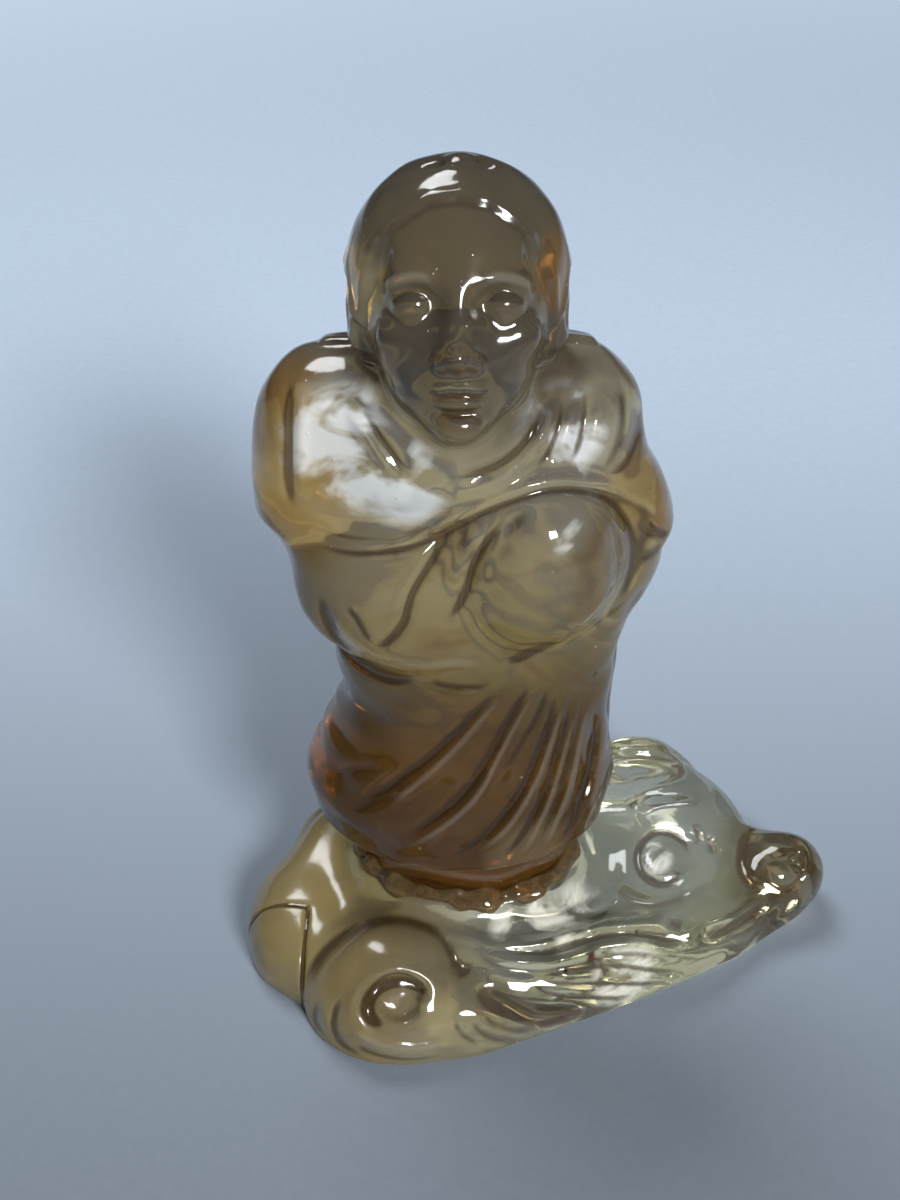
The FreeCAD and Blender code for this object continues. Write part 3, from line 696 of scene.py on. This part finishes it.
# Beads of the adhesive that was squeezed out under the hem: degrees round from the front, towards +X, and
# radius, then how deep they sink, how flat they are, how they merge and how they go up and down on the way
BEAD_TURNS = (-64, -43, -30, -5, 9, 28, 36, 55, 80, 110, 143, 178, 215, 246, 272)
BEAD_RADII = (0.9, 1.2, 0.8, 1.0, 1.5, 0.9, 1.3, 1.1, 1.2, 0.9, 1.3, 1.0, 1.2, 0.9, 1.1)
BEAD_SINK = 0.75
BEAD_SPREAD = 1.9
BEAD_BLEND = 1.6
BEAD_SWAY = 0.3
BEAD_SWAYS = 5

# The glue's own ripple is higher and finer than the stone's
GLUE_RIPPLE = 3
GLUE_RIPPLE_RATE = 1.6


def carve_beads(stone):
    """Lumps along the film's outer edge."""
    low, high = stone.points[stone.depth < 0].min(0), stone.points[stone.depth < 0].max(0)
    middle, half = (low + high) / 2, (high - low) / 2
    for turn, radius in zip(BEAD_TURNS, BEAD_RADII):
        angle = math.radians(turn)
        x = middle[0] + (half[0] - BEAD_SINK * radius) * math.sin(angle)
        y = middle[1] - (half[1] - BEAD_SINK * radius) * math.cos(angle)
        z = middle[2] + BEAD_SWAY * math.sin(BEAD_SWAYS * angle)
        lump = ball(stone.points, (x, y, z), (BEAD_SPREAD * radius, BEAD_SPREAD * radius, radius))
        stone.depth = merged(stone.depth, lump, BEAD_BLEND)
    stone.depth += GLUE_RIPPLE * ripple(GLUE_RIPPLE_RATE * stone.points)


# Materials: procedural, with places in metres in the frame of the part
class Sheet:
    """A material and the few kinds of node that the finishes are made of."""

    def __init__(self, name):
        self.material = bpy.data.materials.new(name)
        self.material.use_nodes = True
        self.nodes = self.material.node_tree.nodes
        self.shader = self.nodes["Principled BSDF"]
        self.place = self.nodes.new("ShaderNodeTexCoord").outputs["Object"]

    def link(self, start, end):
        self.material.node_tree.links.new(start, end)

    def feed(self, socket, value):
        if isinstance(value, bpy.types.NodeSocket):
            self.link(value, socket)
        else:
            socket.default_value = value

    def math(self, kind, first, second):
        node = self.nodes.new("ShaderNodeMath")
        node.operation = kind
        self.feed(node.inputs[0], first)
        self.feed(node.inputs[1], second)
        return node.outputs[0]

    def times(self, first, second):
        return self.math("MULTIPLY", first, second)

    def most(self, first, second):
        return self.math("MAXIMUM", first, second)

    def along(self, axis):
        node = self.nodes.new("ShaderNodeSeparateXYZ")
        self.link(self.place, node.inputs[0])
        return node.outputs[axis]

    def spread(self, value, low, high, new_low=0.0, new_high=1.0):
        node = self.nodes.new("ShaderNodeMapRange")
        node.interpolation_type = "SMOOTHSTEP"
        self.feed(node.inputs["Value"], value)
        node.inputs["From Min"].default_value = low
        node.inputs["From Max"].default_value = high
        node.inputs["To Min"].default_value = new_low
        node.inputs["To Max"].default_value = new_high
        return node.outputs["Result"]

    def noise(self, scale, detail=2.0, roughness=0.5, warp=0.0, stretch=None):
        node = self.nodes.new("ShaderNodeTexNoise")
        node.inputs["Scale"].default_value = scale
        node.inputs["Detail"].default_value = detail
        node.inputs["Roughness"].default_value = roughness
        node.inputs["Distortion"].default_value = warp
        place = self.place
        if stretch:
            turned = self.nodes.new("ShaderNodeMapping")
            turned.inputs["Scale"].default_value = stretch
            self.link(place, turned.inputs["Vector"])
            place = turned.outputs[0]
        self.link(place, node.inputs["Vector"])
        return node.outputs["Fac"]

    def spots(self, scale, size):
        node = self.nodes.new("ShaderNodeTexVoronoi")
        node.inputs["Scale"].default_value = scale
        self.link(self.place, node.inputs["Vector"])
        return self.spread(node.outputs["Distance"], size, 0.0)

    def grooves(self, low, high):
        """0 where the drawn lines are as deep as low, and 1 at high; ridges have depths below zero."""
        node = self.nodes.new("ShaderNodeAttribute")
        node.attribute_name = GROOVE
        return self.spread(node.outputs["Fac"], low, high)

    def near(self, centre, reach):
        """1 within half the reach of a place, and 0 beyond the reach."""
        node = self.nodes.new("ShaderNodeVectorMath")
        node.operation = "DISTANCE"
        self.link(self.place, node.inputs[0])
        node.inputs[1].default_value = [value * MM for value in centre]
        return self.spread(node.outputs["Value"], reach * MM, reach * MM / 2)

    def painted_glints(self, patches, scale, strength):
        """Painted glints, reflections and light in broken bright patches about some places, like fractures.
        """
        share = 0.0
        for centre, reach in patches:
            share = self.most(share, self.near(centre, reach))
        glint_breakup = self.noise(scale, detail=3.0, roughness=0.55, warp=0.6, stretch=(1.0, 1.0, 1.5))
        return self.times(self.times(share, self.spread(glint_breakup, 0.38, 0.60)), strength)

    def tint_about_places(self, tint, patches):
        for centre, reach, strength, colour in patches:
            tint = self.mix(self.times(self.near(centre, reach), strength), tint, colour)
        return tint

    def wander(self, scale, reach):
        """How far the stone's zones shift from place to place."""
        drift = self.noise(scale, detail=3.0, roughness=0.55, warp=0.5)
        return self.times(self.math("SUBTRACT", drift, 0.5), reach)

    def bands(self, value, stops):
        """A colour for each stretch of a value between 0 and 1."""
        node = self.nodes.new("ShaderNodeValToRGB")
        self.link(value, node.inputs["Fac"])
        ramp_stops = node.color_ramp.elements
        while len(ramp_stops) < len(stops):
            ramp_stops.new(1.0)
        for stop, (place, colour) in zip(ramp_stops, stops):
            stop.position = place
            stop.color = (*colour, 1.0)
        return node.outputs["Color"]

    def mix(self, share, first, second):
        node = self.nodes.new("ShaderNodeMix")
        node.data_type = "RGBA"
        self.feed(node.inputs["Factor"], share)
        for socket, colour in ((node.inputs[6], first), (node.inputs[7], second)):
            flat = not isinstance(colour, bpy.types.NodeSocket)
            self.feed(socket, (*colour, 1.0) if flat else colour)
        return node.outputs[2]

    def bump(self, height, distance, strength, before=None):
        node = self.nodes.new("ShaderNodeBump")
        node.inputs["Distance"].default_value = distance
        node.inputs["Strength"].default_value = strength
        self.link(height, node.inputs["Height"])
        if before:
            self.link(before, node.inputs["Normal"])
        return node.outputs["Normal"]

    def distance(self):
        """How far from the middle of the frame."""
        node = self.nodes.new("ShaderNodeVectorMath")
        node.operation = "LENGTH"
        self.link(self.place, node.inputs[0])
        return node.outputs["Value"]

    def surface(self, sockets):
        for name, value in sockets.items():
            self.feed(self.shader.inputs[name], value)

    def absorb(self, colour, density):
        volume = self.nodes.new("ShaderNodeVolumeAbsorption")
        volume.inputs["Color"].default_value = (*colour, 1.0)
        volume.inputs["Density"].default_value = density
        self.link(volume.outputs[0], self.nodes["Material Output"].inputs["Volume"])


# Refraction, and the height that counts as the top of the smoky stone, in metres
QUARTZ_IOR = 1.544
GLUE_IOR = 1.50
FIGURE_TOP = 0.120

# The polish: how far painted highlights on ridges and painted shade in lines change the tint, how cloudy
# the painted shade makes the stone, how opaque the cloudiest stone is, and the clear coat and the roughness
# from clear to cloudy
RIDGE_HIGHLIGHT_SHARE = 0.26
CREASE_SHADE_SHARE = 0.85
CREASE_SHADE_CLOUD = 0.38
CLOUD_OPACITY = 0.85
COAT_ROUGHNESS = 0.10
COAT_LEVELS = (0.05, 0.16)
ROUGHNESS_LEVELS = (0.035, 0.26)

# The smoky stone from the foot to the crown: share of the height with its tint, and with how milky it is
SMOKY_TINTS = (
    (0.14, (0.23, 0.095, 0.010)),
    (0.26, (0.19, 0.09, 0.013)),
    (0.38, (0.23, 0.13, 0.026)),
    (0.47, (0.46, 0.36, 0.15)),
    (0.62, (0.74, 0.66, 0.40)),
    (0.72, (0.84, 0.81, 0.66)),
    (0.79, (0.24, 0.205, 0.15)),
    (1.00, (0.20, 0.170, 0.125)),
)
SMOKY_MILK = (
    (0.12, 0.34),
    (0.30, 0.34),
    (0.42, 0.30),
    (0.52, 0.27),
    (0.62, 0.24),
    (0.72, 0.20),
    (0.79, 0.34),
    (1.00, 0.30),
)

# For each stone the tint of its painted glints, what it absorbs as a colour and a density, and the depths
# between which painted shade fills the drawn lines and painted highlight pales the ridges. The smoky stone
# has darker patches as well.
SMOKY_PATCH = (0.30, 0.17, 0.06)
SMOKY_GLINT = (0.92, 0.97, 1.0)
SMOKY_ABSORPTION = ((0.72, 0.55, 0.06), 62.0)
SMOKY_CREASE_SHADE = (0.06, 0.42)
SMOKY_RIDGE_HIGHLIGHTS = (-0.15, -0.50)
PALE_GLINT = (0.97, 0.96, 0.84)
PALE_ABSORPTION = ((0.84, 0.80, 0.48), 27.0)
PALE_CREASE_SHADE = (0.10, 0.55)
PALE_RIDGE_HIGHLIGHTS = (-0.20, -0.80)

# The pale stone: two tints of its clear right and two of its milky left, and where they change across it, in
# metres
CLEAR_TINTS = ((0.98, 0.98, 0.95), (0.97, 0.92, 0.72))
MILKY_TINTS = ((0.50, 0.40, 0.19), (0.37, 0.28, 0.115))
CLEAR_FROM = 0.000
MILKY_FROM = -0.030
MILKIEST_FROM = -0.036

# Painted shade darkening the drawn lines, and painted highlight paling their ridges
CREASE_SHADE_TINT = (0.08, 0.045, 0.018)
RIDGE_HIGHLIGHT_TINT = (0.92, 0.88, 0.76)
GLUE_TINTS = ((0.46, 0.33, 0.15), (0.16, 0.09, 0.04))

# Places in the stones: centre and reach in millimetres, then for the stains and for the painted light and
# shade, strength and colour
SMOKY_PAINTED_GLINTS = (((-27, -9, 88), 11), ((-20, -12, 85), 8), ((0, -9, 90), 8), ((-1, -14, 80), 4))
SMOKY_STAINS_AND_PAINTED_LIGHT = (
    ((-37, -3, 82), 17, 0.75, (0.80, 0.47, 0.10)),
    ((12, -5, 80), 9, 0.6, (0.62, 0.36, 0.10)),
    ((-15, -12, 48), 10, 0.5, (0.34, 0.19, 0.06)),
    ((-8, -13, 42), 9, 0.6, (0.22, 0.11, 0.03)),
    ((-18, -15, 32), 8, 0.6, (0.20, 0.10, 0.03)),
    # Painted dark reflection along the outer edges of both arms
    ((-39, 0, 88), 8, 0.6, (0.22, 0.13, 0.05)),
    ((14, 0, 87), 7, 0.6, (0.22, 0.13, 0.05)),
    # Painted shade on the sleeve's ball
    ((6, -13, 74), 9, 0.55, (0.36, 0.22, 0.08)),
    # Painted highlight on the lower robe
    ((-3, -15, 27), 8, 0.45, (0.66, 0.50, 0.26)),
    # Painted light through the left side of the head
    ((-27, -4, 105), 9, 0.75, (0.74, 0.66, 0.40)),
    ((0, -3, 108), 7, 0.7, (0.42, 0.23, 0.08)),
)
PALE_PAINTED_GLINTS = (
    ((0, -11.5, 10.8), 8),
    ((6, -9.5, 10.5), 7),
    ((-5, -13, 10.5), 6),
    ((16, 1, 12), 4),
    ((11, -17.5, 6.5), 7),
)
PALE_STAINS_AND_PAINTED_SHADE = (
    ((38, 2, 9), 15, 0.9, (0.46, 0.34, 0.19)),
    ((-23, -20, 12), 13, 0.5, (0.36, 0.27, 0.13)),
    ((-12, -24, 5), 9, 0.4, (0.80, 0.66, 0.26)),
    # Painted shade deep in the trough at the front
    ((-6.3, -20.5, 6.5), 3.5, 0.6, (0.16, 0.11, 0.05)),
    ((-3.0, -20.8, 5.2), 4.0, 0.7, (0.12, 0.08, 0.035)),
    ((1.5, -20.0, 4.2), 3.5, 0.6, (0.16, 0.11, 0.05)),
    ((5.8, -17.1, 10.1), 1.0, 0.9, (0.45, 0.05, 0.03)),
    ((2.0, -19.3, 10.0), 0.55, 1.0, (0.02, 0.02, 0.02)),
    ((6.1, -19.3, 6.1), 0.55, 1.0, (0.02, 0.02, 0.02)),
    ((13.0, -16.1, 7.2), 0.50, 1.0, (0.02, 0.02, 0.02)),
    ((12.5, -13.0, 11.0), 0.55, 1.0, (0.02, 0.02, 0.02)),
)


def polished(sheet, milk, tint, darkening, ridge_highlight):
    """Both stones: clear unless milky, painted shade in lines, painted highlight on ridges, fine pits."""
    # Painted highlight: the ridges of the drawn lines are lightened towards a pale tint
    lit = sheet.mix(sheet.times(ridge_highlight, RIDGE_HIGHLIGHT_SHARE), tint, RIDGE_HIGHLIGHT_TINT)
    cloudy = sheet.most(milk, sheet.times(darkening, CREASE_SHADE_CLOUD))
    broad = sheet.bump(sheet.noise(210.0), distance=0.00016, strength=0.5)
    fine = sheet.noise(1100.0, detail=3.0, roughness=0.6)
    fine = sheet.bump(fine, distance=0.00002, strength=0.35, before=broad)
    sheet.surface({
        "IOR": QUARTZ_IOR,
        "Coat IOR": QUARTZ_IOR,
        "Coat Roughness": COAT_ROUGHNESS,
        "Coat Weight": sheet.spread(milk, 0.0, 0.6, *COAT_LEVELS),
        # Painted shade: the drawn lines are darkened by their depth
        "Base Color": sheet.mix(sheet.times(darkening, CREASE_SHADE_SHARE), lit, CREASE_SHADE_TINT),
        "Roughness": sheet.spread(cloudy, 0.0, 0.8, *ROUGHNESS_LEVELS),
        "Transmission Weight": sheet.math("SUBTRACT", 1.0, sheet.times(cloudy, CLOUD_OPACITY)),
        "Normal": sheet.bump(sheet.spots(380.0, 0.09), distance=0.00015, strength=0.5, before=fine),
    })


def smoky_quartz():
    """Olive-brown and clear in the chest, darker in the head, and honey-brown and milky down the robe."""
    sheet = Sheet("smoky_quartz_polished")
    height = sheet.math("ADD", sheet.math("DIVIDE", sheet.along(2), FIGURE_TOP), sheet.wander(55.0, 0.16))
    milk = sheet.bands(height, [(place, (share,) * 3) for place, share in SMOKY_MILK])
    patch = sheet.spread(sheet.noise(75.0, warp=1.0, stretch=(1.0, 1.0, 1.6)), 0.52, 0.66, 0.0, 0.5)
    patch = sheet.times(patch, sheet.spread(height, 0.82, 0.74, 0.15, 1.0))
    tint = sheet.mix(patch, sheet.bands(height, SMOKY_TINTS), SMOKY_PATCH)
    # Painted sparkles: tiny white specks of painted highlight on the stone
    painted_sparkles = sheet.times(sheet.spots(330.0, 0.085), sheet.spread(sheet.noise(90.0), 0.46, 0.56))
    bright = sheet.most(sheet.painted_glints(SMOKY_PAINTED_GLINTS, 95.0, 0.88), sheet.times(painted_sparkles, 0.8))
    tint = sheet.mix(bright, sheet.tint_about_places(tint, SMOKY_STAINS_AND_PAINTED_LIGHT), SMOKY_GLINT)
    darkening, ridge_highlight = sheet.grooves(*SMOKY_CREASE_SHADE), sheet.grooves(*SMOKY_RIDGE_HIGHLIGHTS)
    polished(sheet, sheet.most(milk, bright), tint, darkening, ridge_highlight)
    sheet.absorb(*SMOKY_ABSORPTION)
    return sheet.material


def pale_quartz():
    """Straw-coloured and milky at the left, clear and grey to lemon at the right, with specks of grime."""
    sheet = Sheet("pale_quartz_polished")
    across = sheet.math("ADD", sheet.along(0), sheet.wander(45.0, 0.030))
    milk = sheet.spread(across, CLEAR_FROM, MILKIEST_FROM, 0.06, 0.55)
    clear = sheet.mix(sheet.spread(sheet.noise(60.0), 0.45, 0.65), *CLEAR_TINTS)
    milky = sheet.mix(sheet.noise(90.0), *MILKY_TINTS)
    tint = sheet.mix(sheet.spread(across, CLEAR_FROM, MILKY_FROM), clear, milky)
    bright = sheet.painted_glints(PALE_PAINTED_GLINTS, 120.0, 0.95)
    tint = sheet.mix(bright, sheet.tint_about_places(tint, PALE_STAINS_AND_PAINTED_SHADE), PALE_GLINT)
    darkening, ridge_highlight = sheet.grooves(*PALE_CREASE_SHADE), sheet.grooves(*PALE_RIDGE_HIGHLIGHTS)
    polished(sheet, sheet.most(milk, bright), tint, darkening, ridge_highlight)
    sheet.absorb(*PALE_ABSORPTION)
    return sheet.material


def adhesive():
    """Old glue: brown, glossy and half clear, with grime in it."""
    sheet = Sheet("aged_adhesive")
    darkening = sheet.spread(sheet.noise(700.0, detail=3.0, roughness=0.6), 0.45, 0.65)
    lumps = sheet.noise(420.0, detail=3.0, roughness=0.6)
    sheet.surface({
        "IOR": GLUE_IOR,
        "Base Color": sheet.mix(darkening, *GLUE_TINTS),
        "Roughness": sheet.spread(darkening, 0.0, 1.0, 0.04, 0.25),
        "Transmission Weight": sheet.spread(darkening, 0.0, 1.0, 0.85, 0.45),
        "Normal": sheet.bump(lumps, distance=0.00015, strength=0.6),
    })
    return sheet.material


# Stage: pale paper that fades into a backdrop far away. The camera and what it sees through stone have the
# backdrop at its own level, and all other light has it at the room's, which is lower.
# Painted shade: the paper's colour darkens from far off to near the camera
PAPER_NEAR_SHADED = (0.165, 0.195, 0.235)
PAPER_AWAY = (0.57, 0.68, 0.83)
PAPER_GRAIN = (0.30, 0.34, 0.40)
PAPER_HALF = 3.0
PAPER_Z = -0.0002
BACKDROP = (0.55, 0.62, 0.70)
BACKDROP_LEVEL = 0.80
ROOM_LEVEL = 0.10
FADE_FROM = 0.34
FADE_TO = 1.0


def backdrop_level(nodes, link):
    """The backdrop's level where it is looked at, straight or through stone, and 0 for other light."""
    ray = nodes.new("ShaderNodeLightPath")
    seen = nodes.new("ShaderNodeMath")
    seen.operation = "MAXIMUM"
    link(ray.outputs["Is Camera Ray"], seen.inputs[0])
    link(ray.outputs["Is Transmission Ray"], seen.inputs[1])
    level = nodes.new("ShaderNodeMath")
    level.operation = "MULTIPLY"
    link(seen.outputs[0], level.inputs[0])
    level.inputs[1].default_value = BACKDROP_LEVEL
    return level.outputs[0]


def paper():
    """Pale matt paper with a faint grain, darkened towards the camera by painted shade."""
    sheet = Sheet("paper")
    shade = sheet.mix(sheet.spread(sheet.along(1), -0.10, 0.22), PAPER_NEAR_SHADED, PAPER_AWAY)
    grain = sheet.spread(sheet.noise(500.0, detail=4.0, roughness=0.7), 0.3, 0.7, 0.0, 0.10)
    fibres = sheet.noise(900.0, detail=4.0, roughness=0.6)
    far = sheet.spread(sheet.distance(), FADE_FROM, FADE_TO)
    sheet.surface({
        "Base Color": sheet.mix(grain, shade, PAPER_GRAIN),
        "Roughness": 0.85,
        "Normal": sheet.bump(fibres, distance=0.00008, strength=0.5),
        "Emission Color": (*BACKDROP, 1.0),
        "Emission Strength": sheet.times(far, backdrop_level(sheet.nodes, sheet.link)),
    })
    return sheet.material


def make_floor():
    mesh = bpy.data.meshes.new("floor")
    turns = ((-1, -1), (1, -1), (1, 1), (-1, 1))
    corners = [(x * PAPER_HALF, y * PAPER_HALF, PAPER_Z) for x, y in turns]
    mesh.from_pydata(corners, [], [range(len(corners))])
    floor = add_object("floor", mesh)
    mesh.materials.append(paper())


# Lamps: place, what they shine at, width and height, power in watts and colour
LAMPS = {
    "window": ((0.40, -0.92, 0.68), (0.0, 0.02, 0.05), (0.30, 0.30), 14.5, (1.0, 1.0, 1.0)),
    "sky": ((-0.28, 0.42, 0.95), (0.0, 0.12, 0.0), (0.46, 0.40), 6.0, (0.95, 0.98, 1.0)),
}


def area_light(name, place, target, size, power, colour):
    light = bpy.data.lights.new(name, "AREA")
    light.shape = "RECTANGLE"
    light.size, light.size_y = size
    light.energy = power
    light.color = colour
    lamp = add_object(name, light)
    lamp.location = place
    lamp.rotation_euler = (Vector(target) - Vector(place)).to_track_quat("-Z", "Y").to_euler()


def make_stage():
    make_floor()
    for name, lamp in LAMPS.items():
        area_light(name, *lamp)
    world = bpy.data.worlds.new("room")
    world.use_nodes = True
    bpy.context.scene.world = world
    nodes, links = world.node_tree.nodes, world.node_tree.links
    background = nodes["Background"]
    background.inputs["Color"].default_value = (*BACKDROP, 1.0)
    level = nodes.new("ShaderNodeMath")
    level.operation = "MAXIMUM"
    level.inputs[1].default_value = ROOM_LEVEL
    links.new(backdrop_level(nodes, links.new), level.inputs[0])
    links.new(level.outputs[0], background.inputs["Strength"])


# Camera body, in millimetres, and how near it still sees, in metres
SENSOR_WIDTH = 36.0
NEAREST = 0.01


def make_camera():
    lens = bpy.data.cameras.new("camera")
    lens.sensor_width = SENSOR_WIDTH
    lens.lens = SENSOR_WIDTH / 2 / math.tan(VIEW_FIELD / 2)
    lens.clip_start = NEAREST
    camera = add_object("camera", lens)
    ahead = Vector(VIEW_AHEAD)
    camera.location = (Vector(VIEW_AIM) - ahead * VIEW_DISTANCE) * MM
    camera.rotation_euler = ahead.to_track_quat("-Z", "Y").to_euler()
    bpy.context.scene.camera = camera
    bpy.context.scene.view_settings.view_transform = "Standard"


smoky, pale, glue = smoky_quartz(), pale_quartz(), adhesive()
make_piece("figure", "monk_figure", FIGURE_VOXEL, carve_figure, smoky)
make_piece("wave_base", "wave_stone", BASE_VOXEL, carve_base, pale)
make_piece("corner_fragment", "broken_corner", CHIP_VOXEL, carve_base, pale)
make_piece("foot_glue", "glue_bead", CHIP_VOXEL, carve_beads, glue)
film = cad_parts["fragment_glue"].data.materials
film.clear()
film.append(glue)
make_stage()
make_camera()
